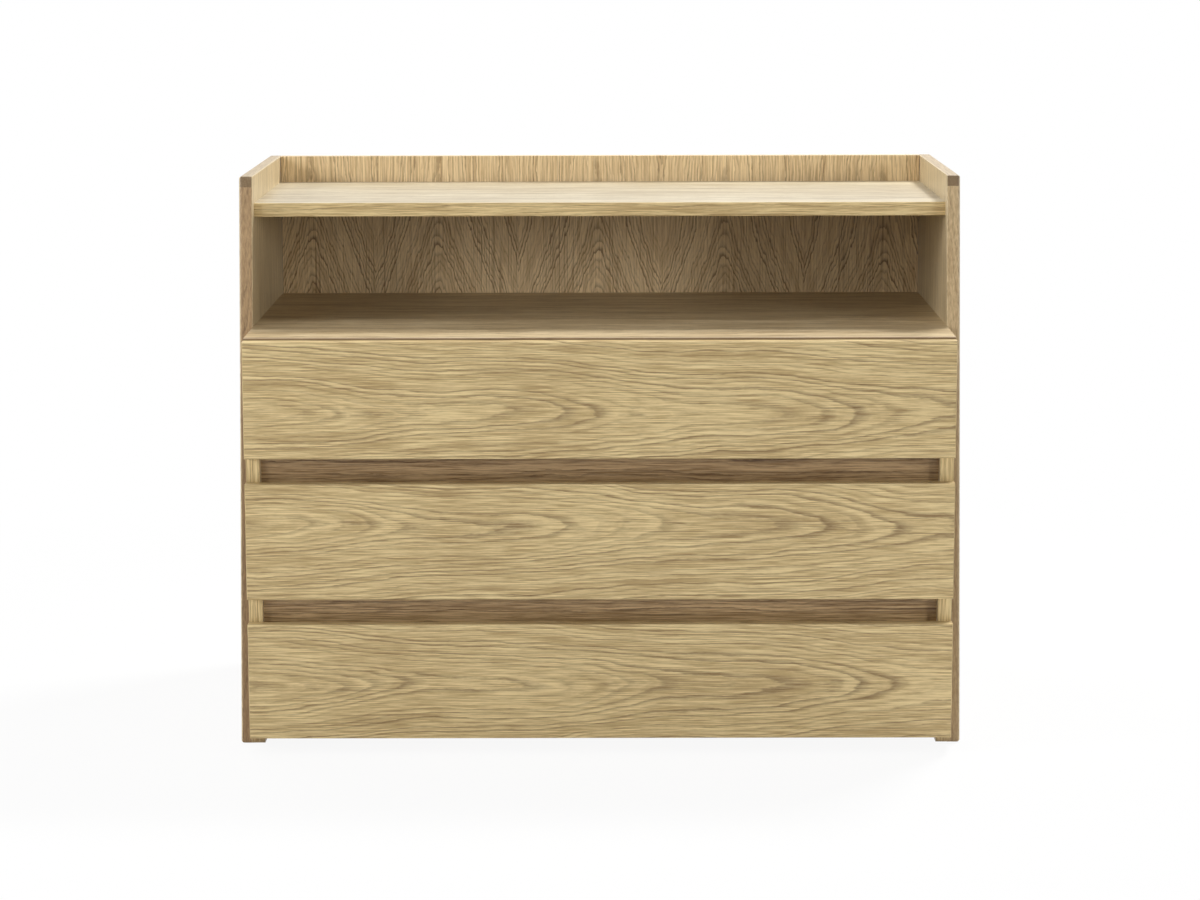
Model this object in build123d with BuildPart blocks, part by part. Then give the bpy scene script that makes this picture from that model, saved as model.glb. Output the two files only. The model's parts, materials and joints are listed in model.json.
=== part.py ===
"""An oak dresser: three wide drawers under an open niche and a shelf with a low gallery.

The origin is at the middle of the footprint, on the floor. X runs along the width, with the left
side at -X, Y runs from the drawer faces at -Y to the back, and Z is up. Sizes are in millimetres.
"""

import os

from build123d import *

os.makedirs("parts", exist_ok=True)

# Overall sizes
width = 1000.0
height = 780.0
depth = 565.0  # drawer faces to the back

# Board thicknesses
side_t = 18.5
board_t = 19.0
back_t = 18.0
edge_lipping_t = 3.0  # thin solid edge on the shelf, the deck and the cabinet sides
arris = 0.8  # taken off the front edges of fronts, shelf, deck and cabinet sides

# Outer sides, whose front edge leans forward on its way down
side_top_setback = 167.5  # from the drawer faces
side_foot_setback = 56.5
side_lipping_w = 15.0
side_corner_r = 3.0
side_outer_r = 4.0
side_inner_chamfer = 0.8

# Shelf and gallery
gallery_h = 38.5  # sides and back above the shelf
shelf_setback = 14.5  # from the top of the sides' front edge

# Niche, and the cabinet under it
niche_h = 149.5
cabinet_foot_z = 10.0
cabinet_foot_chamfer = 2.0
back_side_gap = 0.8  # shadow line at each end of the back

# Drawer fronts
drawer_names = ("top", "middle", "bottom")
front_t = 19.0
front_drop = 3.0  # top front below the deck's surface
front_foot_z = 21.5  # lowest front's lower edge
front_gap = 1.5  # between a closed front and the cabinet
finger_gap = 35.0
bottom_rise = 6.5  # bottom panel above the lowest front's lower edge

# Rails that close the finger gaps
rail_setback = 16.0
rail_lap = 8.0  # rail behind the fronts, above and below the gap

# Drawer boxes
box_t = 12.0
box_rise = 30.0  # above the front's lower edge
box_drop = 19.5  # below the front's upper edge
box_back_space = 48.0  # to the back panel
box_bottom_t = 6.0
box_bottom_rise = 10.0
box_groove = 6.0
groove_play = 0.2
tail_count = 3
tail_slope = 1 / 6
tail_share = 0.62  # of the pitch, where a tail is widest

# Telescopic runners
runner_back_space = 30.0  # runner shorter than the box
runner_h = 45.0
runner_space = 12.7  # between a cabinet side and a drawer box
runner_setback = 3.0  # behind the cabinet's front
runner_sheet = 1.2
runner_play = 0.3
cabinet_flange = 9.2
middle_web_at = 4.0  # from the cabinet side
middle_flange_end = 11.0
drawer_flange = 6.2
runner_bend = 0.6

# Flats round the small round pieces and their holes, which repeat many times out of sight
dowel_sides = 8
screw_sides = 6
bumper_sides = 8

# Dowels
dowel_d = 8.0
dowel_play = 0.2  # on the diameter
dowel_in_face = 12.0
dowel_in_end = 20.0
dowel_end_play = 0.5
dowel_count = 3  # to each end of a board
dowel_inset = 45.0  # first and last dowel of a row from the ends of the joint
rail_dowel_pitch = 28.0

# Screws
screw_d = 4.0
screw_head_d = 8.0
screw_point = 4.0
screw_point_d = 0.6
screw_play = 0.2  # on the diameter
joining_screw_bite = 11.0
joining_screw_front = 50.0  # behind the side's lipping
joining_screw_back = 60.0  # from the back panel
back_screw_bite = 22.0
back_screw_spread = 350.0
front_screw_bite = 13.0
front_screw_spread = 300.0
front_screw_inset = 28.0  # from the box's upper and lower edges
pan_screw_d = 3.5
pan_head_d = 7.0
pan_crown_d = 4.5
pan_head_h = 1.9
runner_screw_bite = 9.0
runner_screw_inset = 40.0

# Bumper pads between the fronts and the cabinet
bumper_d = 8.0
bumper_t = 1.2
bumper_rise = 60.0

# Places that follow from the sizes
face_y = -depth / 2
back_y = depth / 2
back_face_y = back_y - back_t
carcass_y = face_y + front_t + front_gap
inner_x = width / 2 - side_t
cabinet_x = inner_x - board_t
box_x = cabinet_x - runner_space
side_top_y = face_y + side_top_setback
side_foot_y = face_y + side_foot_setback
shelf_top_z = height - gallery_h
shelf_z = shelf_top_z - board_t
shelf_y = side_top_y + shelf_setback
deck_top_z = shelf_z - niche_h
deck_z = deck_top_z - board_t
drawer_count = len(drawer_names)
front_stack_h = deck_top_z - front_drop - front_foot_z
front_h = (front_stack_h - (drawer_count - 1) * finger_gap) / drawer_count
front_pitch = front_h + finger_gap
front_zs = [deck_top_z - front_drop - front_h - i * front_pitch for i in range(drawer_count)]
gap_zs = [z - finger_gap / 2 for z in front_zs[:-1]]
bottom_z = front_zs[-1] + bottom_rise
rail_y = carcass_y + rail_setback
rail_h = finger_gap + 2 * rail_lap
box_y = face_y + front_t
box_length = back_face_y - box_back_space - box_y
box_h = front_h - box_rise - box_drop
runner_length = box_length - runner_back_space
runner_y = carcass_y + runner_setback
runner_zs = [z + box_rise + box_h / 2 for z in front_zs]
side_x = cabinet_x + board_t / 2

LEFT, RIGHT = (-1, 0, 0), (1, 0, 0)
FORWARD = (0, -1, 0)
DOWN, UP = (0, 0, -1), (0, 0, 1)


def save(piece, label):
    piece.part.label = label
    export_step(piece.part, f"parts/{label}.step")


def save_pair(piece, label):
    """Writes a left-hand piece and its mirror image on the right."""
    save(piece, f"{label}_left")
    with BuildPart() as twin:
        add(piece.part.mirror(Plane.YZ))
    save(twin, f"{label}_right")


def board(xs, ys, zs):
    """A plain board from its lowest and highest X, Y and Z."""
    with BuildSketch(Plane.XY.offset(zs[0])) as outline:
        with Locations(((xs[0] + xs[1]) / 2, (ys[0] + ys[1]) / 2)):
            Rectangle(xs[1] - xs[0], ys[1] - ys[0])
    extrude(outline.sketch, amount=zs[1] - zs[0])


def aimed(points, direction):
    """Places at the points, each with its own -Z along the direction."""
    return [Location(Plane(origin=point, z_dir=-Vector(direction))) for point in points]


def pegs(points, direction, sections, sides):
    """Straight-sided pegs that start at the points: each section is (distance on, diameter)."""
    with BuildPart() as peg:
        for distance, across in sections:
            with BuildSketch(Plane.XY.offset(-distance)):
                RegularPolygon(across / 2, sides)
        loft(ruled=True)
    with BuildPart() as group:
        with Locations(*aimed(points, direction)):
            add(peg.part)
    return group.part


def drill(points, direction, hole_d, deep, sides):
    """Blind holes in the piece being made, from points on its face."""
    add(pegs(points, direction, [(0, hole_d), (deep, hole_d)], sides), mode=Mode.SUBTRACT)


def dowel_holes(points, direction, deep):
    drill(points, direction, dowel_hole_d, deep, dowel_sides)


def pilot_holes(points, direction, deep):
    drill(points, direction, screw_hole_d, deep, screw_sides)


def pan_screw_holes(points, direction, deep):
    drill(points, direction, pan_hole_d, deep, screw_sides)


def sunk_holes(points, direction, through):
    """Countersunk holes right through the piece being made."""
    sink = (screw_sink_d - screw_hole_d) / 2
    sections = [(0, screw_sink_d), (sink, screw_hole_d), (through, screw_hole_d)]
    add(pegs(points, direction, sections, screw_sides), mode=Mode.SUBTRACT)


def both_ends(points):
    """The points and their mirror images on the right."""
    return points + [(-x, y, z) for x, y, z in points]


def evenly(first, last, count):
    return [first + (last - first) * i / (count - 1) for i in range(count)]


# Dowel places, on the left: the point where each dowel crosses from one board to the other
shelf_dowels_at = [
    (-inner_x, y, shelf_z + board_t / 2)
    for y in evenly(shelf_y + dowel_inset, back_face_y - dowel_inset, dowel_count)
]
cabinet_dowel_ys = evenly(carcass_y + dowel_inset, back_face_y - dowel_inset, dowel_count)
deck_dowels_at = [(-side_x, y, deck_z) for y in cabinet_dowel_ys]
bottom_dowels_at = [(-cabinet_x, y, bottom_z + board_t / 2) for y in cabinet_dowel_ys]
rail_dowels_at = [
    (-cabinet_x, rail_y + board_t / 2, z + rise)
    for z in gap_zs
    for rise in (-rail_dowel_pitch / 2, rail_dowel_pitch / 2)
]
dowel_hole_d = dowel_d + dowel_play
face_hole = dowel_in_face + dowel_end_play
end_hole = dowel_in_end + dowel_end_play

# Screw places
lipping_lean = (side_top_y - side_foot_y) / height


def side_front_y(z):
    """The front edge of an outer side at a height."""
    return side_foot_y + lipping_lean * z


joining_screws_at = [
    (-cabinet_x, y, z)
    for z in gap_zs
    for y in (side_front_y(z) + side_lipping_w + joining_screw_front, back_face_y - joining_screw_back)
]
back_side_screws_at = [(-side_x, back_y, z) for z in gap_zs]
runner_screw_ys = [
    runner_y + runner_screw_inset,
    runner_y + runner_length - runner_screw_inset,
]
screw_hole_d = screw_d + screw_play
screw_sink_d = screw_head_d + screw_play
pan_hole_d = pan_screw_d + screw_play
cabinet_web_x = runner_sheet - cabinet_x
drawer_web_x = -box_x - runner_sheet


def back_screws_into(board_z, y=back_face_y):
    """Screw places along the rear edge of a level board, at the back panel's front face or at y."""
    return [(x, y, board_z + board_t / 2) for x in (-back_screw_spread, 0, back_screw_spread)]


back_panel_holes = [
    point for board_z in (shelf_z, deck_z, bottom_z) for point in back_screws_into(board_z, back_y)
] + both_ends(back_side_screws_at)


# Outer side: one blank, rounded all round but at the back, cut into a veneered panel and two solid lippings
with BuildPart() as side_blank:
    with BuildSketch(Plane.YZ.offset(-width / 2)):
        with BuildLine():
            Polyline(
                (side_foot_y, 0),
                (back_y, 0),
                (back_y, height),
                (side_top_y, height),
                close=True,
            )
        make_face()
    extrude(amount=side_t)
    fillet(side_blank.edges().filter_by(Axis.X).sort_by(Axis.Y)[:2], side_corner_r)
    fillet(side_blank.faces().sort_by(Axis.X)[0].edges().sort_by(Axis.Y)[:-1], side_outer_r)
    chamfer(side_blank.faces().sort_by(Axis.X)[-1].edges(), side_inner_chamfer)

lean = Vector(lipping_lean, 1).normalized()
lipping_step = side_lipping_w / lean.Y  # along Y, for a lipping of even width
core_top_z = height - side_lipping_w
with BuildSketch(Plane.YZ.offset(-width / 2)) as panel_zone:
    with BuildLine():
        Polyline(
            (side_foot_y + lipping_step, 0),
            (back_y, 0),
            (back_y, core_top_z),
            (side_front_y(core_top_z) + lipping_step, core_top_z),
            close=True,
        )
    make_face()
with BuildSketch(Plane.YZ.offset(-width / 2)) as front_lipping_zone:
    with BuildLine():
        Polyline(
            (side_foot_y, 0),
            (side_foot_y + lipping_step, 0),
            (side_front_y(core_top_z) + lipping_step, core_top_z),
            (side_front_y(core_top_z), core_top_z),
            close=True,
        )
    make_face()
with BuildSketch(Plane.YZ.offset(-width / 2)) as top_lipping_zone:
    with BuildLine():
        Polyline(
            (side_front_y(core_top_z), core_top_z),
            (back_y, core_top_z),
            (back_y, height),
            (side_top_y, height),
            close=True,
        )
    make_face()

with BuildPart() as side_panel:
    add(side_blank.part)
    extrude(panel_zone.sketch, amount=side_t, mode=Mode.INTERSECT)
    dowel_holes(shelf_dowels_at, LEFT, face_hole)
    pilot_holes([(-inner_x, y, z) for x, y, z in joining_screws_at], LEFT, joining_screw_bite)
save_pair(side_panel, "side_panel")

with BuildPart() as side_front_lipping:
    add(side_blank.part)
    extrude(front_lipping_zone.sketch, amount=side_t, mode=Mode.INTERSECT)
save_pair(side_front_lipping, "side_front_lipping")

with BuildPart() as side_top_lipping:
    add(side_blank.part)
    extrude(top_lipping_zone.sketch, amount=side_t, mode=Mode.INTERSECT)
save_pair(side_top_lipping, "side_top_lipping")

# Back panel, standing between the outer sides
back_half = inner_x - back_side_gap
with BuildPart() as back_panel:
    board((-back_half, back_half), (back_face_y, back_y), (cabinet_foot_z, height))
    sunk_holes(back_panel_holes, FORWARD, back_t)
save(back_panel, "back_panel")

# Shelf, with its thin solid front edge
with BuildPart() as top_shelf:
    board((-inner_x, inner_x), (shelf_y + edge_lipping_t, back_face_y), (shelf_z, shelf_top_z))
    dowel_holes(shelf_dowels_at, RIGHT, end_hole)
    dowel_holes([(-x, y, z) for x, y, z in shelf_dowels_at], LEFT, end_hole)
    pilot_holes(back_screws_into(shelf_z), FORWARD, back_screw_bite)
save(top_shelf, "top_shelf")

with BuildPart() as top_shelf_lipping:
    board((-inner_x, inner_x), (shelf_y, shelf_y + edge_lipping_t), (shelf_z, shelf_top_z))
    chamfer(top_shelf_lipping.faces().sort_by(Axis.Y)[0].edges().filter_by(Axis.X), arris)
save(top_shelf_lipping, "top_shelf_lipping")

# Deck: the floor of the niche and the top of the cabinet
with BuildPart() as deck_panel:
    board((-inner_x, inner_x), (carcass_y + edge_lipping_t, back_face_y), (deck_z, deck_top_z))
    dowel_holes(both_ends(deck_dowels_at), UP, face_hole)
    pilot_holes(back_screws_into(deck_z), FORWARD, back_screw_bite)
save(deck_panel, "deck_panel")

with BuildPart() as deck_lipping:
    board((-inner_x, inner_x), (carcass_y, carcass_y + edge_lipping_t), (deck_z, deck_top_z))
    chamfer(deck_lipping.faces().sort_by(Axis.Y)[0].edges().filter_by(Axis.X), arris)
save(deck_lipping, "deck_lipping")

# Cabinet sides, glued and screwed inside the outer sides
with BuildPart() as cabinet_side:
    board((-inner_x, -cabinet_x), (carcass_y + edge_lipping_t, back_face_y), (cabinet_foot_z, deck_z))
    dowel_holes(deck_dowels_at, DOWN, end_hole)
    dowel_holes(bottom_dowels_at + rail_dowels_at, LEFT, face_hole)
    pilot_holes([(x, back_face_y, z) for x, y, z in back_side_screws_at], FORWARD, back_screw_bite)
    sunk_holes(joining_screws_at, LEFT, board_t)
    web_screws = [(-cabinet_x, y, z) for z in runner_zs for y in runner_screw_ys]
    pan_screw_holes(web_screws, LEFT, runner_screw_bite)
save_pair(cabinet_side, "cabinet_side")

with BuildPart() as cabinet_side_lipping:
    board((-inner_x, -cabinet_x), (carcass_y, carcass_y + edge_lipping_t), (cabinet_foot_z, deck_z))
    chamfer(cabinet_side_lipping.edges().filter_by(Axis.Z).group_by(Axis.Y)[0], arris)
    lower_edges = cabinet_side_lipping.edges().group_by(Axis.Z)[0].filter_by(Axis.X)
    chamfer(lower_edges.sort_by(Axis.Y)[0], cabinet_foot_chamfer)
save_pair(cabinet_side_lipping, "cabinet_side_lipping")

# Bottom panel, between the cabinet sides
with BuildPart() as bottom_panel:
    board((-cabinet_x, cabinet_x), (carcass_y, back_face_y), (bottom_z, bottom_z + board_t))
    dowel_holes(bottom_dowels_at, RIGHT, end_hole)
    dowel_holes([(-x, y, z) for x, y, z in bottom_dowels_at], LEFT, end_hole)
    pilot_holes(back_screws_into(bottom_z), FORWARD, back_screw_bite)
save(bottom_panel, "bottom_panel")

# Rails behind the finger gaps
for name, gap_z in zip(("upper", "lower"), gap_zs):
    crossings = [point for point in rail_dowels_at if abs(point[2] - gap_z) < rail_h / 2]
    with BuildPart() as finger_rail:
        board(
            (-cabinet_x, cabinet_x),
            (rail_y, rail_y + board_t),
            (gap_z - rail_h / 2, gap_z + rail_h / 2),
        )
        dowel_holes(crossings, RIGHT, end_hole)
        dowel_holes([(-x, y, z) for x, y, z in crossings], LEFT, end_hole)
    save(finger_rail, f"finger_rail_{name}")


def wood_screws(points, direction, length):
    """Countersunk screws with their heads' faces at the points."""
    head_h = (screw_head_d - screw_d) / 2
    sections = [
        (0, screw_head_d),
        (head_h, screw_d),
        (length - screw_point, screw_d),
        (length, screw_point_d),
    ]
    return pegs(points, direction, sections, screw_sides)


def pan_screws(points, direction):
    """Runner screws with their heads' seats at the points, and their mirror images."""
    bite = runner_sheet + runner_screw_bite - screw_play
    with BuildPart() as screws:
        add(pegs(points, direction, [(-pan_head_h, pan_crown_d), (0, pan_head_d)], screw_sides))
        add(pegs(points, direction, [(0, pan_screw_d), (bite, pan_screw_d)], screw_sides))
        mirror(about=Plane.YZ)
    return screws


# Dowels, one group to each joint
for label, points, direction in (
    ("shelf_dowels", shelf_dowels_at, RIGHT),
    ("deck_dowels", deck_dowels_at, DOWN),
    ("bottom_dowels", bottom_dowels_at, RIGHT),
    ("rail_dowels", rail_dowels_at, RIGHT),
):
    with BuildPart() as dowels:
        ends = [(-dowel_in_face, dowel_d), (dowel_in_end, dowel_d)]
        add(pegs(points, direction, ends, dowel_sides))
        mirror(about=Plane.YZ)
    save(dowels, label)

# Screws that hold the carcass together
joining_length = board_t + joining_screw_bite - screw_play
with BuildPart() as joining_screws:
    add(wood_screws(joining_screws_at, LEFT, joining_length))
    mirror(about=Plane.YZ)
save(joining_screws, "side_joining_screws")

back_screw_length = back_t + back_screw_bite - screw_play
with BuildPart() as back_screws:
    add(wood_screws(back_panel_holes, FORWARD, back_screw_length))
save(back_screws, "back_panel_screws")


middle_h = runner_h - 2 * (runner_sheet + runner_play)
drawer_member_h = middle_h - 2 * (runner_sheet + runner_play)


def runner_pair(center_z, web_at, flange_to, outer_h, screw_points, screw_direction):
    """One member of the left and right runners: a channel with its web's face at web_at and its
    flanges reaching to flange_to, both counted from the cabinet side towards the drawer."""
    inward = 1 if flange_to > web_at else -1
    half = outer_h / 2
    web_to = web_at + inward * runner_sheet
    plane = Plane(origin=(-cabinet_x, runner_y, center_z), x_dir=RIGHT, z_dir=FORWARD)
    with BuildPart() as member:
        with BuildSketch(plane):
            with BuildLine():
                Polyline(
                    (web_at, -half),
                    (flange_to, -half),
                    (flange_to, runner_sheet - half),
                    (web_to, runner_sheet - half),
                    (web_to, half - runner_sheet),
                    (flange_to, half - runner_sheet),
                    (flange_to, half),
                    (web_at, half),
                    close=True,
                )
            make_face()
        extrude(amount=-runner_length)
        bends = member.edges().filter_by(Axis.Y).group_by(Axis.X)[0 if inward > 0 else -1]
        chamfer(bends, runner_bend)
        if screw_points:
            pan_screw_holes(screw_points, screw_direction, runner_sheet)
        mirror(about=Plane.YZ)
    return member


# Drawer boxes: through dovetails at the corners, the bottom held in a groove
inner_box_x = box_x - box_t
box_back_y = box_y + box_length
tail_pitch = box_h / tail_count
tail_wide = tail_pitch * tail_share
tail_narrow = tail_wide - 2 * box_t * tail_slope
groove_x = inner_box_x + box_groove
groove_ys = (box_y + box_t - box_groove, box_back_y - box_t + box_groove)


def side_tails(box_z):
    """The tails at both ends of the left box side."""
    with BuildPart() as tails:
        with BuildSketch(Plane.YZ.offset(-box_x)):
            for i in range(tail_count):
                z = box_z + tail_pitch * (i + 0.5)
                for end_y, root_y in ((box_y, box_y + box_t), (box_back_y, box_back_y - box_t)):
                    with BuildLine():
                        Polyline(
                            (end_y, z - tail_wide / 2),
                            (end_y, z + tail_wide / 2),
                            (root_y, z + tail_narrow / 2),
                            (root_y, z - tail_narrow / 2),
                            close=True,
                        )
                    make_face()
        extrude(amount=box_t)
    return tails.part


def groove_cutter(low_z):
    """The space that the box's bottom takes, with its play."""
    with BuildPart() as cutter:
        board(
            (-groove_x - groove_play, groove_x + groove_play),
            (groove_ys[0] - groove_play, groove_ys[1] + groove_play),
            (low_z, low_z + box_bottom_t + groove_play),
        )
    return cutter.part


for name, front_z, runner_z in zip(drawer_names, front_zs, runner_zs):
    box_z = front_z + box_rise
    box_zs = (box_z, box_z + box_h)
    bottom_low = box_z + box_bottom_rise
    box_screws_at = [(drawer_web_x, y, runner_z) for y in runner_screw_ys]
    cabinet_screws_at = [(cabinet_web_x, y, runner_z) for y in runner_screw_ys]
    front_screws_at = [
        (x, box_y + box_t, z)
        for x in (-front_screw_spread, front_screw_spread)
        for z in (box_z + front_screw_inset, box_z + box_h - front_screw_inset)
    ]

    with BuildPart() as front:
        board((-inner_x, inner_x), (face_y, box_y), (front_z, front_z + front_h))
        chamfer(front.faces().sort_by(Axis.Y)[0].edges(), arris)
        pilot_holes([(x, box_y, z) for x, y, z in front_screws_at], FORWARD, front_screw_bite)
    save(front, f"drawer_{name}_front")

    with BuildPart() as box_side:
        board((-box_x, -inner_box_x), (box_y + box_t, box_back_y - box_t), box_zs)
        add(side_tails(box_z))
        add(groove_cutter(bottom_low), mode=Mode.SUBTRACT)
        pan_screw_holes([(-box_x, y, z) for x, y, z in box_screws_at], RIGHT, runner_screw_bite)
    save_pair(box_side, f"drawer_{name}_box_side")

    for end, end_ys in (("front", (box_y, box_y + box_t)), ("back", (box_back_y - box_t, box_back_y))):
        with BuildPart() as box_end:
            board((-box_x, box_x), end_ys, box_zs)
            add(side_tails(box_z), mode=Mode.SUBTRACT)
            add(side_tails(box_z).mirror(Plane.YZ), mode=Mode.SUBTRACT)
            add(groove_cutter(bottom_low), mode=Mode.SUBTRACT)
            if end == "front":
                sunk_holes(front_screws_at, FORWARD, box_t)
        save(box_end, f"drawer_{name}_box_{end}")

    with BuildPart() as box_bottom:
        board((-groove_x, groove_x), groove_ys, (bottom_low, bottom_low + box_bottom_t))
    save(box_bottom, f"drawer_{name}_bottom")

    with BuildPart() as front_screws:
        add(wood_screws(front_screws_at, FORWARD, box_t + front_screw_bite - screw_play))
    save(front_screws, f"drawer_{name}_front_screws")

    cabinet_member = runner_pair(runner_z, 0, cabinet_flange, runner_h, cabinet_screws_at, LEFT)
    save(cabinet_member, f"runners_{name}_cabinet_members")
    middle_member = runner_pair(runner_z, middle_web_at, middle_flange_end, middle_h, [], RIGHT)
    save(middle_member, f"runners_{name}_middle_members")
    drawer_member = runner_pair(
        runner_z, runner_space, runner_space - drawer_flange, drawer_member_h, box_screws_at, RIGHT
    )
    save(drawer_member, f"runners_{name}_drawer_members")
    save(pan_screws(box_screws_at, RIGHT), f"drawer_{name}_runner_screws")

# Screws of the cabinet's runner members
save(
    pan_screws([(cabinet_web_x, y, z) for z in runner_zs for y in runner_screw_ys], LEFT),
    "cabinet_runner_screws",
)

# Pads that the closed fronts touch
bumpers_at = [
    (-side_x, carcass_y, front_z + front_h / 2 + rise)
    for front_z in front_zs
    for rise in (-bumper_rise, bumper_rise)
]
with BuildPart() as bumpers:
    add(pegs(bumpers_at, FORWARD, [(0, bumper_d), (bumper_t, bumper_d)], bumper_sides))
    mirror(about=Plane.YZ)
save(bumpers, "front_bumpers")
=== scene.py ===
# %% [markdown]
# An oak dresser, dressed and lit.
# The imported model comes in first, as a frame that never moves. Everything after it is finish,
# small parts, light and camera, so the furniture keeps the sizes that the maker drew.

import json
import math

import bpy
from mathutils import Matrix, Vector


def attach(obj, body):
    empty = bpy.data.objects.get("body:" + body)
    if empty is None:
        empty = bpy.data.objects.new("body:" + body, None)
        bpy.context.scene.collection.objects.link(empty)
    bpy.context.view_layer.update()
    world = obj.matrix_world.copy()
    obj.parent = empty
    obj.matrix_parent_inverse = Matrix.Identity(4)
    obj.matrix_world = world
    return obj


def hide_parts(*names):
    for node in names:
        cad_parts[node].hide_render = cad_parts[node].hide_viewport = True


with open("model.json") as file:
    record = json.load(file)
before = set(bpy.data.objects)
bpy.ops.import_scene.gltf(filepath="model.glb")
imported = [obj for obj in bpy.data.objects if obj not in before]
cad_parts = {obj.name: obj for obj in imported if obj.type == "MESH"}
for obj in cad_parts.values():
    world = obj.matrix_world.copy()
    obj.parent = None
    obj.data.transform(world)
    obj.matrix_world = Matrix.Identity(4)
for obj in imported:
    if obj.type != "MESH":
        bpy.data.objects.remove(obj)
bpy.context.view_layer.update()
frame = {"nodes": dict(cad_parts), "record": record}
nodes = frame["nodes"]
print("pieces in the frame:", len(nodes))

# %% [markdown]
# A finish is a network of shader nodes, and wood needs a good many of them. Wiring each one by
# hand hides the idea behind the plumbing. A small wrapper lets a formula be written as a formula:
# every sum or product of terms adds one Math node to the material.

# %% A formula that turns into nodes
def feed(tree, socket, value):
    """Sets a socket to a plain number or colour, or links it to a term."""
    if isinstance(value, Term):
        tree.links.new(value.socket, socket)
    elif value is not None:
        socket.default_value = value


def place(tree, kind, *inputs, **settings):
    """Adds a node, sets its options, and feeds its first sockets in order."""
    made = tree.nodes.new(kind)
    for option, value in settings.items():
        setattr(made, option, value)
    for socket, value in zip(made.inputs, inputs):
        feed(tree, socket, value)
    return made


class Term:
    """A value that varies over the surface."""

    def __init__(self, tree, socket):
        self.tree = tree
        self.socket = socket

    def math(self, operation, *others):
        made = place(self.tree, "ShaderNodeMath", self, *others, operation=operation)
        return Term(self.tree, made.outputs[0])

    def __add__(self, other):
        return self.math("ADD", other)

    def __sub__(self, other):
        return self.math("SUBTRACT", other)

    def __mul__(self, other):
        return self.math("MULTIPLY", other)

    def __truediv__(self, other):
        return self.math("DIVIDE", other)

    def sine(self):
        return self.math("SINE")

    def size(self):
        return self.math("ABSOLUTE")

    def above(self, limit):
        return self.math("GREATER_THAN", limit)


def blend(first, second, share):
    """The first term where share is 0, the second where it is 1."""
    return first + (second - first) * share


def spread(term, low, high, to_low=0.0, to_high=1.0, ease="SMOOTHSTEP"):
    """Stretches low..high to to_low..to_high, and holds the ends."""
    made = place(term.tree, "ShaderNodeMapRange", term, low, high, to_low, to_high)
    made.interpolation_type = ease
    return Term(term.tree, made.outputs[0])


print("terms are ready")

# %% [markdown]
# Wood is a solid, so its finish is worked out in space and not painted on a surface. Each board
# gets three distances in millimetres: along its grain, across it, and through the board. The
# frame's own coordinates serve, because a drawer carries them with it when it slides out. On a
# veneered board the short ends are covered by an edge band, whose grain runs along the edge.

# %% Distances inside a board
MM = 1000.0
AXES = "XYZ"
SQUARE_ENOUGH = 0.6


def square_to(tree, axis):
    """1 on faces that lie square to an axis, 0 on the others."""
    coordinates = tree.nodes.new("ShaderNodeTexCoord")
    facing = tree.nodes.new("ShaderNodeSeparateXYZ")
    tree.links.new(coordinates.outputs["Normal"], facing.inputs[0])
    return Term(tree, facing.outputs[axis]).size().above(SQUARE_ENOUGH)


def board_space(tree, along, across, banded=False):
    """Terms for the distance along the grain, across it and through the board."""
    coordinates = tree.nodes.new("ShaderNodeTexCoord")
    scaled = place(tree, "ShaderNodeVectorMath", operation="SCALE")
    tree.links.new(coordinates.outputs["Object"], scaled.inputs[0])
    scaled.inputs["Scale"].default_value = MM
    axes = tree.nodes.new("ShaderNodeSeparateXYZ")
    tree.links.new(scaled.outputs[0], axes.inputs[0])
    through = (set(AXES) - {along, across}).pop()
    u, v, w = (Term(tree, axes.outputs[name]) for name in (along, across, through))
    if not banded:
        return u, v, w
    band = square_to(tree, along)
    return blend(u, v, band), blend(v, w, band), blend(w, u, band)


def join(tree, x, y, z):
    return Term(tree, place(tree, "ShaderNodeCombineXYZ", x, y, z).outputs[0])


def cloud(u, v, w, long, wide, octaves=2.0, rough=0.5, seed=0.0):
    """Soft noise in -1..1, drawn out along the grain: long and wide are its sizes in mm."""
    tree = u.tree
    place_in_noise = join(tree, u / long + seed, v / wide + seed, w / wide)
    made = place(tree, "ShaderNodeTexNoise", place_in_noise)
    made.inputs["Scale"].default_value = 1.0
    made.inputs["Detail"].default_value = octaves
    made.inputs["Roughness"].default_value = rough
    return Term(tree, made.outputs[0]) * 2.0 - 1.0


print("distances are in millimetres")

# %% [markdown]
# A plain-sawn oak face shows nested arches, which carpenters call cathedrals. They are growth
# rings cut at a shallow angle. So the rings are modelled as a tree makes them: layers at even
# distances from a core line that runs nearly along the board, a little behind its face. Where the
# core dives away from the face, ring after ring closes into an arch. Where it keeps its depth,
# they run straight.

# %% Growth rings
SWAY_WIDE = 60.0
RISE_WIDE = 90.0
RIPPLE_LONG = 38.0
RIPPLE_WIDE = 9.0
THROUGH_SHARE = 0.6
RING_TO_RING = 0.37


def growth_rings(space, core, depth, spacing, waver, waver_long, heave=0.6, ripple=0.85, seed=0.0):
    """The number of rings between a point and the core line, as a term with a fraction.

    Core and depth place the core line, across the grain and behind the face. It strays sideways
    by up to waver over a length of waver_long, and heave is the share of that which it strays in
    depth. Ripple makes each ring ragged. All but heave and ripple are in millimetres.
    """
    u, v, w = space
    sway = cloud(u, v, w, waver_long, SWAY_WIDE, 2.0, 0.5, seed) * waver
    rise = cloud(u, v, w, waver_long, RISE_WIDE, 2.0, 0.5, seed + 3.0) * (waver * heave)
    side = v - core + sway
    deep = w * THROUGH_SHARE + depth + rise
    wobble = cloud(u, v, w, RIPPLE_LONG, RIPPLE_WIDE, 3.0, 0.6, seed + 7.0) * ripple
    return (side * side + deep * deep).math("SQRT") / spacing + wobble


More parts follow.
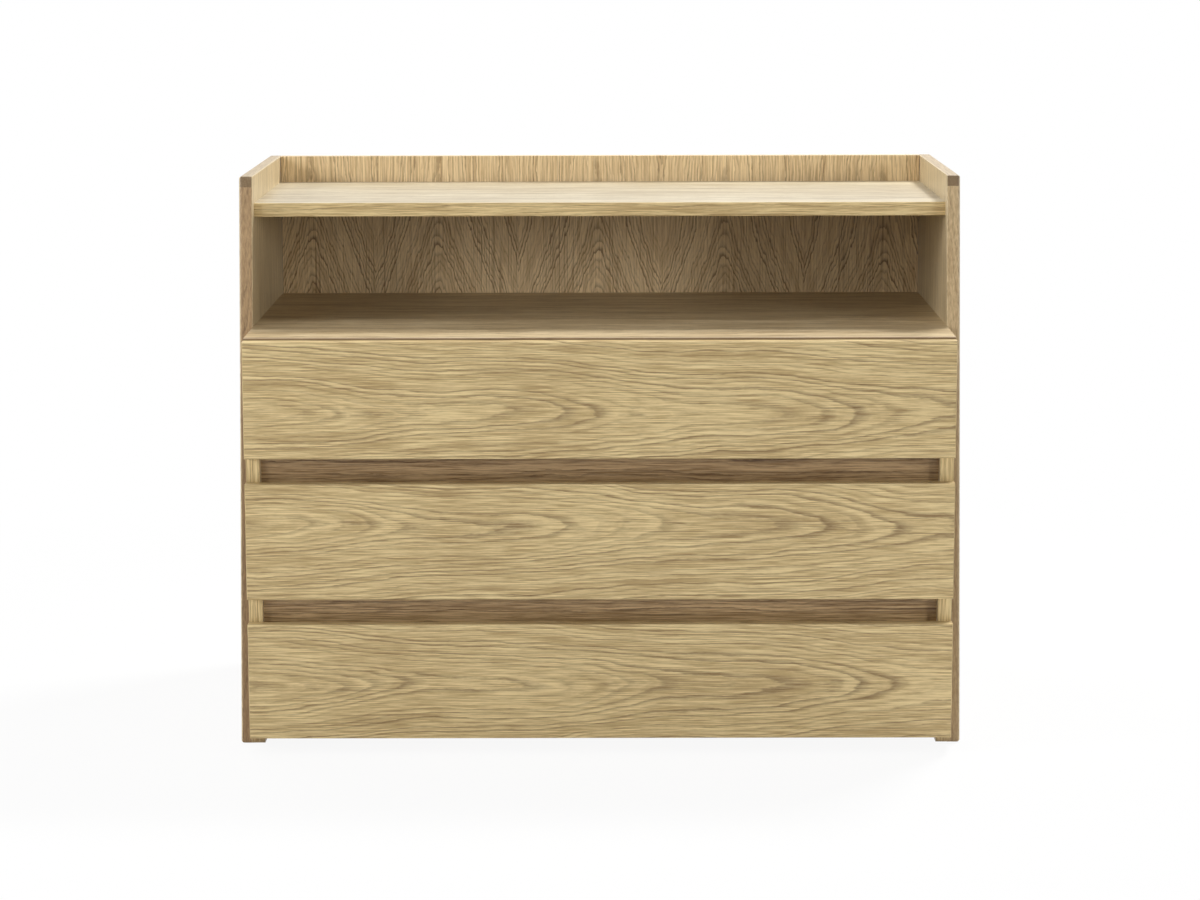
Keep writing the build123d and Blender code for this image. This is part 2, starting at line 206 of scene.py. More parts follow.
def ring_lines(rings, seed=0.0):
    """Each ring's dark early wood: full a sixth of the way out, gone at 0.7 of it.

    Some rings are stronger than others, by noise that is read at the ring's number.
    """
    tree = rings.tree
    across_ring = rings.math("FRACT")
    starts = spread(across_ring, 0.0, 0.16)
    fades = spread(across_ring, 0.1, 0.7, 1.0, 0.0)
    each = place(tree, "ShaderNodeTexNoise", noise_dimensions="1D")
    each.inputs["Scale"].default_value = 1.0
    each.inputs["Detail"].default_value = 1.0
    feed(tree, each.inputs["W"], rings.math("FLOOR") * RING_TO_RING + seed)
    strength = spread(Term(tree, each.outputs[0]), 0.36, 0.66, 0.22, 1.0)
    return starts * fades * strength


print("rings are ready")

# %% [markdown]
# Oak's early wood has large open pores, seen as fine dark dashes along the grain. Between them lie
# light fibres. Both are long noise: a few hundredths of the length wide. The pores also take the
# shine off the lacquer and leave it a little sunken, so they feed roughness and bump as well.

# %% Oak under a matt lacquer
def swatch(red, green, blue):
    """A colour as a screen shows it (0..255), turned into the light values that shaders use."""
    def linear(value):
        value /= 255.0
        return value / 12.92 if value <= 0.04045 else ((value + 0.055) / 1.055) ** 2.4

    return (linear(red), linear(green), linear(blue), 1.0)


def mix_colour(share, first, second):
    tree = share.tree
    made = tree.nodes.new("ShaderNodeMix")
    made.data_type = "RGBA"
    feed(tree, made.inputs[0], share)
    feed(tree, made.inputs[6], first)
    feed(tree, made.inputs[7], second)
    return Term(tree, made.outputs[2])


OAK_LIGHT = swatch(238, 215, 161)
OAK_BODY = swatch(186, 159, 109)
OAK_DARK = swatch(108, 78, 42)
OAK_PORE = swatch(108, 80, 48)

# Length along the grain and width across it, in mm, then the octaves and the roughness of noise.
FIBRES = (55.0, 1.3, 3.0, 0.62)
BUSY_PARTS = (300.0, 34.0, 1.0, 0.5)
SLOW_BANDS = (260.0, 9.0, 4.0, 0.65)
STREAKS = (240.0, 1.7, 2.0, 0.55)
PORES = (12.0, 0.6, 1.0, 0.5)
BAND_STEP = 5.0
LACQUER_IOR = 1.47


def start_material(name):
    material = bpy.data.materials.new(name)
    material.use_nodes = True
    tree = material.node_tree
    return material, tree, tree.nodes["Principled BSDF"]


def add_relief(tree, shader, height, strength, depth):
    """Lets light play on small highs and lows. The depth is in metres."""
    relief = tree.nodes.new("ShaderNodeBump")
    relief.inputs["Strength"].default_value = strength
    relief.inputs["Distance"].default_value = depth
    feed(tree, relief.inputs["Height"], height)
    tree.links.new(relief.outputs[0], shader.inputs["Normal"])


def finish_oak(tree, shader, space, rings, seed, figure=1.0, dark=OAK_DARK, body=OAK_BODY,
               light=OAK_LIGHT, patches=None, cloudy=0.5, unbroken=0.35, pore_depth=0.55):
    """Wires oak into a shader.

    Figure is the strength of ring lines and streaks, cloudy that of slow light and dark bands,
    and pore_depth that of the pores. Unbroken is what is left of a ring line where a light fibre
    crosses it. Patches are a share of extra dark, such as end grain, knots or painted shade.
    """
    u, v, w = space
    fibres = cloud(u, v, w, *FIBRES, seed + 19.0)
    busy = spread(cloud(u, v, w, *BUSY_PARTS, seed + 43.0), -0.25, 0.2, 0.4, 1.0)
    lines = ring_lines(rings, seed) * spread(fibres, -0.45, 0.4, 1.0, unbroken)
    bands = cloud(u, rings * BAND_STEP, w, *SLOW_BANDS, seed + 11.0)
    streaks = spread(cloud(u, v, w, *STREAKS, seed + 37.0), 0.12, 0.36) * busy
    dashes = spread(cloud(u, v, w, *PORES, seed + 29.0), 0.16, 0.5)
    pores = dashes * spread(lines, 0.0, 0.5, 0.25, 1.0)
    tone = spread(bands * cloudy + fibres * 1.1, -0.36, 0.36)
    colour = mix_colour(tone, body, light)
    colour = mix_colour(lines * figure, colour, dark)
    colour = mix_colour(streaks * (figure * 0.6), colour, dark)
    if patches:
        colour = mix_colour(patches, colour, dark)
    colour = mix_colour(pores * pore_depth, colour, OAK_PORE)
    feed(tree, shader.inputs["Base Color"], colour)
    feed(tree, shader.inputs["Roughness"], spread(pores, 0.0, 1.0, 0.38, 0.6, "LINEAR"))
    shader.inputs["IOR"].default_value = LACQUER_IOR
    add_relief(tree, shader, fibres * 0.25 - pores - lines * 0.3, 0.35, 0.00025)


def dress(material, *names):
    """Puts a material on whole pieces of the frame."""
    for name in names:
        slots = nodes[name].data.materials
        if not slots:
            slots.append(material)
        for index in range(len(slots)):
            slots[index] = material


print("oak is ready")

# %% [markdown]
# The three drawer fronts carry the figure that the eye goes to. Their veneers are leaves from one
# log, laid one under the other, so the same arches come back on each, and the middle leaf is
# turned over. The arches point to the right. That way the core line goes deeper, and the log gets
# thinner, both in uneven steps, so the arches crowd in some places and stretch out in others.

# %% Drawer fronts
TURN = 2 * math.pi
FACE_Y = 282.5
FRONT_SPACING = 5.4
HEART_DEPTH = 28.0
DEEPENING = 0.03
THINNING = 0.045
STEP_LONG = 340.0
STEP_THINNING = 2.0
FRONT_WAVER = (13.0, 190.0, 0.25, 0.36)
KNOTS = (46.0, 7.0, 3.0, 0.6)


def front_oak(name, heart_z, turned, seed):
    material, tree, shader = start_material(name)
    u, v, w = board_space(tree, "X", "Z", banded=True)
    across = (v - heart_z) * turned
    steps = (u * (TURN / STEP_LONG)).sine()
    depth = u * DEEPENING + steps + HEART_DEPTH
    taper = u * THINNING + steps * STEP_THINNING
    space = (u, across, w + FACE_Y)
    around = growth_rings(space, 0.0, depth, FRONT_SPACING, *FRONT_WAVER, seed)
    rings = around + taper / FRONT_SPACING
    heart = spread(across.size(), 4.0, 24.0, 1.0, 0.0)
    knots = spread(cloud(u, across, w, *KNOTS, seed + 41.0), 0.08, 0.55)
    finish_oak(tree, shader, space, rings, seed, 0.8, patches=knots * heart * 0.5, cloudy=0.65,
               unbroken=0.5)
    return material


FRONTS = {"top": (473.0, 1.0, 3.0), "middle": (319.0, -1.0, 3.4), "bottom": (96.0, 1.0, 3.8)}
for drawer, figure in FRONTS.items():
    dress(front_oak(f"oak_front_{drawer}", *figure), f"drawer_{drawer}_front")
print("hearts of the fronts at", [figure[0] for figure in FRONTS.values()], "mm from the floor")

# %% [markdown]
# The back is veneered with upright leaves from one log, laid side by side. Each second leaf is
# turned over like the page of a book, so the arches sit nearer each other, then further apart.
# This log tapers: higher up, each ring lies nearer the core. So the arches point up, jagged at
# their tips, and their legs spread on the way down. Towards the top edge the figure gets fainter.
# Each leaf is also cut a little higher up the log than the one before.

# %% Back panel
LEAF = 216.0
FIRST_JOINT = 556.0
BACK_WIDTH = 963.0
BACK_FACE_Y = 264.5
BACK_CORE = (12.0, 6.0)
BACK_SPACING = 5.0
BACK_WAVER = (6.0, 70.0, 0.5, 1.0)
BACK_THINNING = 0.22
BACK_STEP_LONG = 300.0
BACK_STEP_THINNING = 8.0
STEP_FROM = 620.0
LEAF_RISE = 9.0
LEAF_APART = 500.0
BACK_SEED = 53.0


def back_oak():
    material, tree, shader = start_material("oak_back_leaves")
    u, v, w = board_space(tree, "Z", "X")
    from_joint = v + FIRST_JOINT
    leaf = (from_joint / LEAF).math("FLOOR")
    odd = leaf.math("MODULO", 2.0)
    turned = (from_joint - leaf * LEAF - LEAF / 2) * (odd * -2.0 + 1.0)
    climb = u + leaf * LEAF_RISE
    steps = ((climb - STEP_FROM) * (TURN / BACK_STEP_LONG)).sine()
    taper = climb * BACK_THINNING + steps * BACK_STEP_THINNING
    log = (climb, turned, w - BACK_FACE_Y)
    around = growth_rings(log, *BACK_CORE, BACK_SPACING, *BACK_WAVER, BACK_SEED)
    rings = around + taper / BACK_SPACING
    space = (climb, turned + leaf * LEAF_APART, w)
    figure = spread(u, 690.0, 750.0, 1.0, 0.65)
    finish_oak(tree, shader, space, rings, BACK_SEED, figure, dark=swatch(108, 78, 44),
               body=swatch(204, 176, 132), light=swatch(246, 222, 178), unbroken=0.75,
               pore_depth=0.3)
    return material


dress(back_oak(), "back_panel")
print("leaves across the back:", round(BACK_WIDTH / LEAF, 1))

# %% [markdown]
# Shelf, deck, rails and bottom are level boards, cut nearer the quarter. Their core lies far to
# one side, so the rings run as long straight lines with only a slow wander. The shelf's leaf is
# paler, as leaves from different logs are. The rails are painted browner and darker, as painted
# shade for the finger gaps they sit deep in; the lower rail is a less shaded copy of the upper,
# and the bottom shares its colours.

# %% Level boards
WANDER_LONG = 300.0


def shades(dark, body, light):
    """Three named colours for finish_oak, each as a screen shows it."""
    return {"dark": swatch(*dark), "body": swatch(*body), "light": swatch(*light)}


def quiet_oak(name, along, across, core, depth, spacing, waver, seed, figure, colours=None,
              darker=None, cloudy=0.5):
    """A straight-grained oak. Darker is a function that gives a share of extra dark, such as
    painted shade.
    """
    material, tree, shader = start_material(name)
    space = board_space(tree, along, across)
    rings = growth_rings(space, core, depth, spacing, waver, WANDER_LONG, seed=seed)
    patches = darker(tree, space) if darker else None
    finish_oak(tree, shader, space, rings, seed, figure, patches=patches, cloudy=cloudy,
               **(colours or {}))
    return material


PALE = shades((122, 100, 70), (163, 148, 119), (208, 197, 170))
DECK = shades((96, 68, 38), (174, 150, 110), (224, 203, 164))
# The rail colours are darker than the other oak: painted shade for the deep finger gaps. The lower
# rail's are a less shaded copy of the upper's.
UPPER_RAIL_SHADE = shades((78, 50, 22), (150, 118, 76), (208, 176, 130))
LOWER_RAIL_SHADE = shades((84, 56, 26), (158, 126, 82), (220, 188, 140))
RAIL_RINGS = (600.0, 40.0, 6.0, 16.0)
shelf_oak = quiet_oak("oak_shelf", "X", "Y", -260.0, 60.0, 7.0, 16.0, 5.0, 0.5, PALE, cloudy=0.85)
deck_oak = quiet_oak("oak_deck", "X", "Y", -420.0, 60.0, 7.5, 22.0, 15.0, 0.65, DECK, cloudy=0.9)
upper_rail_shade_oak = quiet_oak("oak_upper_rail_shaded", "X", "Z", *RAIL_RINGS, 25.0, 1.0, UPPER_RAIL_SHADE)
lower_rail_shade_oak = quiet_oak("oak_lower_rail_shaded", "X", "Z", *RAIL_RINGS, 29.0, 1.0, LOWER_RAIL_SHADE)
dress(shelf_oak, "top_shelf")
dress(deck_oak, "deck_panel")
dress(upper_rail_shade_oak, "finger_rail_upper")
dress(lower_rail_shade_oak, "finger_rail_lower", "bottom_panel")
print("level boards: shelf, deck, two rails, bottom")

# %% [markdown]
# The outer sides and the cabinet sides have upright grain, straight and fine, from a paler log
# than the drawer fronts. The lippings will need the same leaf, so its rings have a name.

# %% Upright boards
UPRIGHT = ("side_panel_left", "side_panel_right", "cabinet_side_left", "cabinet_side_right")
SIDE_RINGS = (-500.0, 90.0, 5.0, 14.0)
SIDE_SEED = 35.0
SIDE_PALE = shades((116, 90, 58), (190, 170, 132), (234, 215, 176))
dress(quiet_oak("oak_sides", "Z", "Y", *SIDE_RINGS, SIDE_SEED, 0.5, SIDE_PALE), *UPRIGHT)
print("upright boards:", len(UPRIGHT))

# %% [markdown]
# The lippings are solid oak. They were glued on before the boards were veneered, so the sides'
# pale leaves run over their wide faces, and only their narrow faces show the solid wood. The ends
# of the top lippings show true end grain, which drinks more lacquer and looks darker. The two
# front lippings are cut from a browner board. The left one is painted browner still, as painted
# shade, since less light falls on that side, and both get painted shade beside the drawers.

# %% Solid lippings
# The left lipping's colours are darker than the right's: painted shade, as less light falls on the
# left side.
LEFT_BROWN_SHADED = shades((84, 62, 38), (160, 130, 94), (184, 154, 114))
RIGHT_BROWN = shades((112, 84, 50), (184, 157, 117), (212, 187, 145))
TOP_PALE = shades((98, 70, 40), (154, 133, 98), (186, 166, 131))
# The deck edge's shades are a lighter copy of the deck's: painted light for the edge's top strip,
# where the high lamps behind shine.
DECK_EDGE_LIT = shades((112, 84, 50), (222, 202, 166), (246, 230, 198))


def side_lipping_oak(name, along, across, core, depth, spacing, waver, seed, colours, darker):
    """Solid oak on the narrow faces, and the side's upright leaf on the wide ones."""
    material, tree, shader = start_material(name)
    solid = board_space(tree, along, across)
    leaf = board_space(tree, "Z", "Y")
    wide = square_to(tree, "X")
    space = tuple(blend(own, veneer, wide) for own, veneer in zip(solid, leaf))
    own_rings = growth_rings(solid, core, depth, spacing, waver, WANDER_LONG, seed=seed)
    leaf_rings = growth_rings(leaf, *SIDE_RINGS, WANDER_LONG, seed=SIDE_SEED)
    rings = blend(own_rings, leaf_rings, wide)
    mixed = {kind: mix_colour(wide, colours[kind], SIDE_PALE[kind]) for kind in colours}
    patches = darker(tree, solid) * (wide * -1.0 + 1.0)
    finish_oak(tree, shader, space, rings, SIDE_SEED, 0.5, patches=patches, **mixed)
    return material


def end_grain(tree, space):
    """The front and back ends of a top lipping."""
    return square_to(tree, "Y") * 0.6


def painted_shade_beside_drawers(tree, space):
    """Painted shade: a front lipping is browner beside the drawers, where the fronts shade it, and
    a little paler again at its foot.
    """
    return spread(space[0], 440.0, 570.0, 0.46, 0.0) * spread(space[0], 0.0, 250.0, 0.65, 1.0)


def painted_shade_at_foot(tree, space):
    """Painted shade on the low end of a strip, which lies in the shade of the bottom drawer front.
    """
    return spread(space[0], 10.0, 22.0, 0.65, 0.0)


def painted_gap_shade(tree, space):
    """Painted shade on the front face only: the dark line of the shaded gap above the top drawer.
    """
    return square_to(tree, "Y") * 0.8


FRONT_CUT = ("Z", "Y", -330.0, 30.0, 3.2, 10.0)
TOP_CUT = ("Y", "Z", 720.0, 470.0, 3.4, 8.0)
left_oak = side_lipping_oak("oak_left_lipping", *FRONT_CUT, 45.0, LEFT_BROWN_SHADED, painted_shade_beside_drawers)
right_oak = side_lipping_oak("oak_right_lipping", *FRONT_CUT, 49.0, RIGHT_BROWN, painted_shade_beside_drawers)
top_oak = side_lipping_oak("oak_top_lippings", *TOP_CUT, 55.0, TOP_PALE, end_grain)
edge_oak = quiet_oak("oak_shelf_edge", "X", "Z", 500.0, 40.0, 4.2, 10.0, 65.0, 0.6)
# The deck's edge: painted light on its top strip, and painted shade on its front face.
deck_edge_lit_shaded_oak = quiet_oak("oak_deck_edge_lit_shaded", "X", "Y", -600.0, 40.0, 4.2, 10.0, 67.0, 0.4,
                          DECK_EDGE_LIT, painted_gap_shade)
strip_oak = quiet_oak("oak_strip_edges", "Z", "X", 300.0, 40.0, 3.6, 8.0, 75.0, 0.45,
                      darker=painted_shade_at_foot)
dress(left_oak, "side_front_lipping_left")
dress(right_oak, "side_front_lipping_right")
dress(top_oak, "side_top_lipping_left", "side_top_lipping_right")
dress(edge_oak, "top_shelf_lipping")
dress(deck_edge_lit_shaded_oak, "deck_lipping")
dress(strip_oak, "cabinet_side_lipping_left", "cabinet_side_lipping_right")
print("lippings dressed:", sum("lipping" in name for name in nodes))

# %% [markdown]
# The drawer boxes are pale birch. Its pores are too small to see: what shows is a faint band for
# each year and a silky shine. The grain follows the length of each board, so the dovetails show
# end grain beside long grain.

# %% Birch boxes
BIRCH_LIGHT = swatch(233, 214, 178)
BIRCH_DARK = swatch(205, 176, 132)
BIRCH_RINGS = (-200.0, 50.0, 7.0, 14.0, 200.0)
SILK = (60.0, 2.0, 2.0, 0.5)


def birch(name, along, across, seed):
    material, tree, shader = start_material(name)
    u, v, w = board_space(tree, along, across)
    year = ring_lines(growth_rings((u, v, w), *BIRCH_RINGS, seed=seed), seed)
    silk = cloud(u, v, w, *SILK, seed)
    colour = mix_colour(spread(year * 0.6 + silk * 0.3, -0.3, 0.9), BIRCH_LIGHT, BIRCH_DARK)
    feed(tree, shader.inputs["Base Color"], colour)
    feed(tree, shader.inputs["Roughness"], spread(silk, -0.6, 0.6, 0.4, 0.52))
    add_relief(tree, shader, silk, 0.2, 0.0001)
    return material


birch_long = birch("birch_sides", "Y", "Z", 9.0)
birch_cross = birch("birch_ends", "X", "Z", 27.0)
birch_flat = birch("birch_bottoms", "X", "Y", 63.0)
for drawer in FRONTS:
    dress(birch_long, f"drawer_{drawer}_box_side_left", f"drawer_{drawer}_box_side_right")
    dress(birch_cross, f"drawer_{drawer}_box_front", f"drawer_{drawer}_box_back")
    dress(birch_flat, f"drawer_{drawer}_bottom")
print("birch boards in the boxes:", 5 * len(FRONTS))

# %% [markdown]
# Runners and screws are zinc-plated steel. Zinc plate is a bright grey with a faint cloud in it,
# and rolling leaves fine lines along the runner.

# %% Zinc plate
ZINC_LIGHT = swatch(205, 207, 210)
ZINC_DARK = swatch(168, 171, 176)
LINE_STRETCH = 60.0


def zinc(name, line_width):
    material, tree, shader = start_material(name)
    u, v, w = board_space(tree, "Y", "Z")
    drawn = cloud(u, v, w, line_width * LINE_STRETCH, line_width)
    patches = cloud(u, v, w, 18.0, 18.0, 3.0, 0.6, 5.0)
    colour = mix_colour(spread(drawn * 0.4 + patches * 0.6, -0.5, 0.5), ZINC_DARK, ZINC_LIGHT)
    feed(tree, shader.inputs["Base Color"], colour)
    feed(tree, shader.inputs["Roughness"], spread(patches, -0.6, 0.6, 0.3, 0.44))
    shader.inputs["Metallic"].default_value = 1.0
    add_relief(tree, shader, drawn, 0.15, 0.00005)
    return material


runner_zinc = zinc("zinc_runners", 0.5)
screw_zinc = zinc("zinc_screws", 0.3)
runner_members = [name for name in nodes if name.startswith("runners_")]
dress(runner_zinc, *runner_members)
print("runner members dressed:", len(runner_members))

# %% [markdown]
# The frame draws its screws with six sides and its pads with eight. Seen close, they should be
# round, and a screw needs the cross that a driver fits. So they are made anew, as on a lathe.
# First the frame says where each one sits: every separate solid in a node is found by its shared
# corners.

# %% Places of the small solids
NEARLY_NOTHING = 0.0001


def solids_in(node):
    """The corner points of each separate solid in a node, in metres."""
    mesh = nodes[node].data
    corners = [tuple(round(value, 6) for value in vertex.co) for vertex in mesh.vertices]
    leader_of = {corner: corner for corner in corners}

    def leader(corner):
        while leader_of[corner] != corner:
            corner = leader_of[corner]
        return corner

    for edge in mesh.edges:
        first, second = (leader(corners[index]) for index in edge.vertices)
        leader_of[first] = second
    solids = {}
    for corner in leader_of:
        solids.setdefault(leader(corner), []).append(Vector(corner))
    return list(solids.values())


def seats_in(node, axis):
    """For each solid: the middle of its wide end, the way it points from there, and its length."""
    seats = []
    for points in solids_in(node):
        low, high = (Vector([pick(p[i] for p in points) for i in range(3)]) for pick in (min, max))
        middle = (low + high) / 2
        width = {}
        for end in (low[axis], high[axis]):
            ring = [p - middle for p in points if abs(p[axis] - end) < NEARLY_NOTHING]
            width[end] = max(math.hypot(p[axis - 1], p[axis - 2]) for p in ring)
        wider = width[low[axis]] - width[high[axis]]
        head = low[axis] if wider > NEARLY_NOTHING else high[axis]
        middle[axis] = head
        inwards = Vector([0.0, 0.0, 0.0])
        inwards[axis] = 1.0 if head == low[axis] else -1.0
        seats.append((middle, inwards, high[axis] - low[axis]))
    return seats


print("screws in the back:", len(seats_in("back_panel_screws", 1)))

# %% [markdown]
# A turned piece is a stack of rings: each has a depth, a radius and an outline. Most outlines are
# round, and the outline of the driver's recess is a cross. All have 24 points, so each ring joins
# the next with plain four-sided faces.

# %% Turned pieces
RING_POINTS = 24
ROUND = [1.0] * RING_POINTS
CROSS = [1.0, 1.035, 0.536, 0.379, 0.536, 1.035] * 4
SMOOTH_BELOW = math.radians(40.0)


def turned_pieces(name, seats, rings, material):
    """One mesh with a turned piece at each seat. Ring depths and radii are in millimetres."""
    corners, faces = [], []
    for middle, inwards, length in seats:
        turn = inwards.to_track_quat("Z", "Y")
        first = len(corners)
        for depth, radius, outline in rings(length * MM):
            for i, reach in enumerate(outline):
                angle = TURN * i / RING_POINTS
                x, y = (radius * reach * part(angle) for part in (math.cos, math.sin))
                corners.append(middle + turn @ Vector((x, y, depth)) / MM)
        count = len(corners) - first
        for start in range(first, first + count - RING_POINTS, RING_POINTS):
            for i in range(RING_POINTS):
                j = (i + 1) % RING_POINTS
                above = start + RING_POINTS
                faces.append((start + i, start + j, above + j, above + i))
        faces.append(list(reversed(range(first, first + RING_POINTS))))
        faces.append(list(range(first + count - RING_POINTS, first + count)))
    mesh = bpy.data.meshes.new(name)
    mesh.from_pydata([tuple(corner) for corner in corners], [], faces)
    mesh.validate()
    mesh.polygons.foreach_set("use_smooth", [True] * len(mesh.polygons))
    mesh.set_sharp_from_angle(angle=SMOOTH_BELOW)
    mesh.materials.append(material)
    piece = bpy.data.objects.new(name, mesh)
    bpy.context.scene.collection.objects.link(piece)
    return piece


bodies = frame["record"]["behaviour"]["bodies"]
body_of = {node: body for body, members in bodies.items() for node in members}


def swap(node, axis, rings, material):
    """Puts turned pieces in the place of a node's plain solids."""
    piece = turned_pieces(f"{node}_turned", seats_in(node, axis), rings, material)
    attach(piece, body_of[node])
    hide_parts(node)
    return len(piece.data.vertices) // RING_POINTS


print("the cross is", round(CROSS[3] / CROSS[0], 2), "as wide at its inner corners")

# %% [markdown]
# The wood screws have a raised countersunk head: a low dome whose rim covers the edge of its
# hole. The runner screws have a pan head that fits inside the runner. Both have a shallow cross
# recess. Each line below is a depth, a radius and an outline.

# %% Screws
def wood_screw(length):
    return (
        (1.3, 1.0, CROSS),
        (-0.55, 2.1, CROSS),
        (-0.5, 2.7, ROUND),
        (-0.3, 3.6, ROUND),
        (-0.02, 4.25, ROUND),
        (0.15, 4.2, ROUND),
        (2.3, 2.0, ROUND),
        (length - 4.0, 1.9, ROUND),
        (length, 0.3, ROUND),
    )


def pan_screw(length):
    return (
        (1.2, 0.9, CROSS),
        (0.0, 1.9, CROSS),
        (0.05, 2.3, ROUND),
        (0.45, 3.0, ROUND),
        (1.2, 3.45, ROUND),
        (1.9, 3.5, ROUND),
        (1.9, 1.75, ROUND),
        (length - 1.0, 1.7, ROUND),
        (length, 1.0, ROUND),
    )


ring_count = 0
for node in [name for name in nodes if name.endswith("screws")]:
    in_runner = node.endswith("runner_screws")
    axis = 0 if in_runner or "joining" in node else 1
    head = pan_screw if in_runner else wood_screw
    ring_count += swap(node, axis, head, screw_zinc)
print("rings turned for the screws:", ring_count)

# %% [markdown]
# Dowels are turned beech. The pads between fronts and cabinet are soft clear plastic, a little
# milky. Each is a low dome on a round base, stuck to the cabinet's front edge.

# %% Dowels and pads
beech = birch("beech_dowels", "X", "Y", 81.0)
dress(beech, "shelf_dowels", "deck_dowels", "bottom_dowels", "rail_dowels")


def pad_plastic():
    material, tree, shader = start_material("clear_pads")
    u, v, w = board_space(tree, "X", "Z")
    haze = cloud(u, v, w, 2.0, 2.0, 2.0, 0.5)
    colour = mix_colour(spread(haze, -0.6, 0.6), swatch(214, 214, 208), swatch(232, 232, 228))
    feed(tree, shader.inputs["Base Color"], colour)
    feed(tree, shader.inputs["Roughness"], spread(haze, -0.6, 0.6, 0.35, 0.5))
    shader.inputs["Subsurface Weight"].default_value = 0.2
    shader.inputs["Subsurface Scale"].default_value = 0.002
    return material


def pad(length):
    dome = [(0.02, 1.4), (0.12, 2.6), (0.4, 3.5), (0.75, 3.9)]
    return [(length - depth, radius, ROUND) for depth, radius in reversed(dome + [(length, 4.0)])]


pad_rings = swap("front_bumpers", 1, pad, pad_plastic())
print("rings turned for the pads:", pad_rings)

# %% [markdown]
# The studio: a wide pale floor. To the camera and in reflections it glows almost white, so it
# keeps the dresser's soft shadow and nothing else. Away from the dresser the glow takes over
# altogether, and the floor melts into the white air.

# %% Floor
FLOOR_RADIUS = 14.0
FLOOR_SIDES = 96
FLOOR_GREY = 0.84
SHADOW_NEAR = 0.75
SHADOW_FAR = 1.9
GLOW_NEAR = 0.92


def studio_floor():
    mesh = bpy.data.meshes.new("studio_floor")
    angles = [TURN * i / FLOOR_SIDES for i in range(FLOOR_SIDES)]
    rim = [(FLOOR_RADIUS * math.cos(a), FLOOR_RADIUS * math.sin(a), 0.0) for a in angles]
    mesh.from_pydata(rim, [], [list(range(FLOOR_SIDES))])
    floor = bpy.data.objects.new("studio_floor", mesh)
    bpy.context.scene.collection.objects.link(floor)
    return floor


def not_diffuse(tree):
    """1 for what the camera sees, straight, in a reflection or through glass."""
    rays = tree.nodes.new("ShaderNodeLightPath")
    kinds = ("Is Camera Ray", "Is Glossy Ray", "Is Transmission Ray")
    camera_ray, glossy_ray, glass_ray = (Term(tree, rays.outputs[kind]) for kind in kinds)
    return camera_ray.math("MAXIMUM", glossy_ray).math("MAXIMUM", glass_ray)


def floor_material():
    material, tree, shader = start_material("pale_floor")
    shader.inputs["Base Color"].default_value = (FLOOR_GREY, FLOOR_GREY, FLOOR_GREY, 1.0)
    shader.inputs["Roughness"].default_value = 0.9
    coordinates = tree.nodes.new("ShaderNodeTexCoord")
    away = place(tree, "ShaderNodeVectorMath", operation="LENGTH")
    tree.links.new(coordinates.outputs["Object"], away.inputs[0])
    distance = Term(tree, away.outputs["Value"])
    share = spread(distance, SHADOW_NEAR, SHADOW_FAR, GLOW_NEAR, 1.0) * not_diffuse(tree)
    glow = tree.nodes.new("ShaderNodeEmission")
    mixer = tree.nodes.new("ShaderNodeMixShader")
    feed(tree, mixer.inputs[0], share)
    tree.links.new(shader.outputs[0], mixer.inputs[1])
    tree.links.new(glow.outputs[0], mixer.inputs[2])
    tree.links.new(mixer.outputs[0], tree.nodes["Material Output"].inputs["Surface"])
    return material


floor = studio_floor()
floor.data.materials.append(floor_material())
print("floor radius", FLOOR_RADIUS, "m")

# %% [markdown]
# The camera stands over four metres off, a little above the dresser's top, and looks slightly
# down. Its place was fitted to the straight edges of the furniture, so verticals lean in by the
# right amount.

# %% Camera
CAMERA_AT = Vector((0.01093, -4.43894, 1.12065))
YAW, PITCH, ROLL = (math.radians(angle) for angle in (-0.1453, 9.5332, 0.1267))
LENS = 93.536
SENSOR = 36.0
MIDDLE = Vector((0.0, 0.0, 0.4))

level = Vector((math.sin(YAW), math.cos(YAW), 0.0))
forward = level * math.cos(PITCH) - Vector((0.0, 0.0, math.sin(PITCH)))
level_right = Vector((math.cos(YAW), -math.sin(YAW), 0.0))
level_down = forward.cross(level_right)
right = level_right * math.cos(ROLL) + level_down * math.sin(ROLL)
up = level_right * math.sin(ROLL) - level_down * math.cos(ROLL)

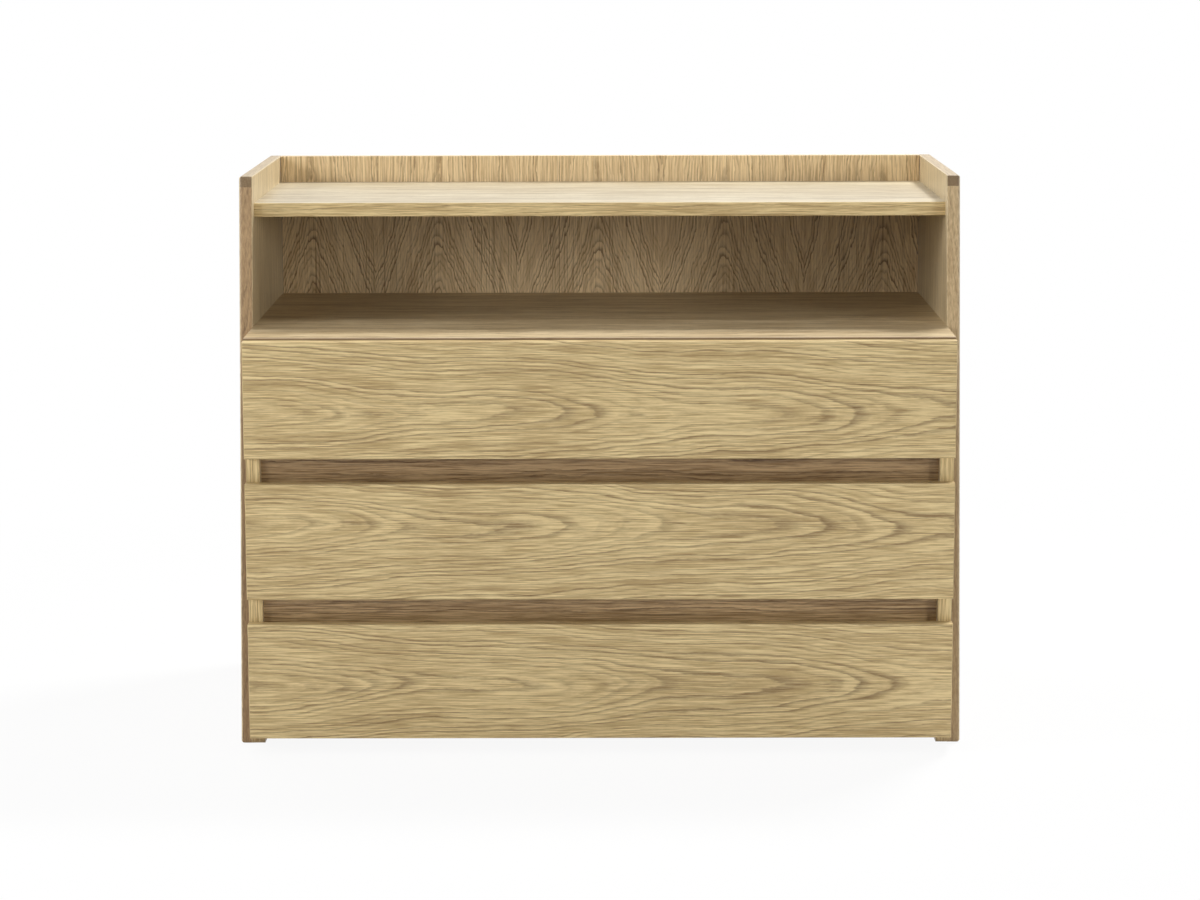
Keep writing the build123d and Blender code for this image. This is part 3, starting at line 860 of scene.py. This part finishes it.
lens = bpy.data.cameras.new("camera")
lens.sensor_fit = "HORIZONTAL"
lens.sensor_width = SENSOR
lens.lens = LENS
camera = bpy.data.objects.new("camera", lens)
camera.matrix_world = Matrix((
    (right.x, up.x, -forward.x, CAMERA_AT.x),
    (right.y, up.y, -forward.y, CAMERA_AT.y),
    (right.z, up.z, -forward.z, CAMERA_AT.z),
    (0.0, 0.0, 0.0, 1.0),
))
bpy.context.scene.collection.objects.link(camera)
bpy.context.scene.camera = camera
print("camera", round((CAMERA_AT - MIDDLE).length, 2), "m from the dresser's middle")

# %% [markdown]
# Light comes as in a photographer's studio: a faint even glow from all round, and six soft
# panels. Two stand in front, left and right, well over a metre up. Their light crosses inside the
# niche, so the middle of its back is brighter than its ends, and the shelf shades the back's top.
# One on the left fills that side, and a weak one hangs overhead. Two high ones behind brighten the
# shelf and the deck's front edge. Broad panels give soft shadow edges.

# %% Light
AIM = Vector((0.0, 0.0, 0.45))
AIR_LEVEL = 0.03


def panel(name, place_at, size_m, watts):
    light = bpy.data.lights.new(name, "AREA")
    light.shape = "RECTANGLE"
    light.size, light.size_y = size_m
    light.energy = watts
    lamp = bpy.data.objects.new(name, light)
    lamp.location = place_at
    lamp.rotation_euler = (AIM - Vector(place_at)).to_track_quat("-Z", "Y").to_euler()
    lamp.visible_camera = False
    bpy.context.scene.collection.objects.link(lamp)


panel("front_right", (3.2, -3.3, 1.25), (0.8, 1.0), 43.0)
panel("front_left", (-2.45, -3.3, 1.5), (0.8, 1.0), 25.0)
panel("left", (-3.2, -1.4, 1.9), (1.2, 1.2), 48.0)
panel("overhead", (0.0, -0.6, 3.0), (2.4, 0.8), 16.0)
panel("high_back_right", (1.5, 1.5, 3.5), (0.9, 0.7), 134.0)
panel("high_back_left", (-1.5, 1.5, 3.5), (2.0, 0.7), 32.0)

world = bpy.data.worlds.new("studio_air")
bpy.context.scene.world = world
world.use_nodes = True
air = world.node_tree
glow = air.nodes["Background"]
glow.inputs["Color"].default_value = (1.0, 1.0, 1.0, 1.0)
feed(air, glow.inputs["Strength"], not_diffuse(air) * (1.0 - AIR_LEVEL) + AIR_LEVEL)
panels = [light.energy for light in bpy.data.lights]
print("panels:", len(panels), "with", sum(panels), "watts in all")

# %% [markdown]
# Last, the view transform is set so that a colour renders about as it is written. The low domes
# of the screw heads in the back stand about half a millimetre out from the plain frame.

# %% Finish
bpy.context.scene.view_settings.view_transform = "Standard"
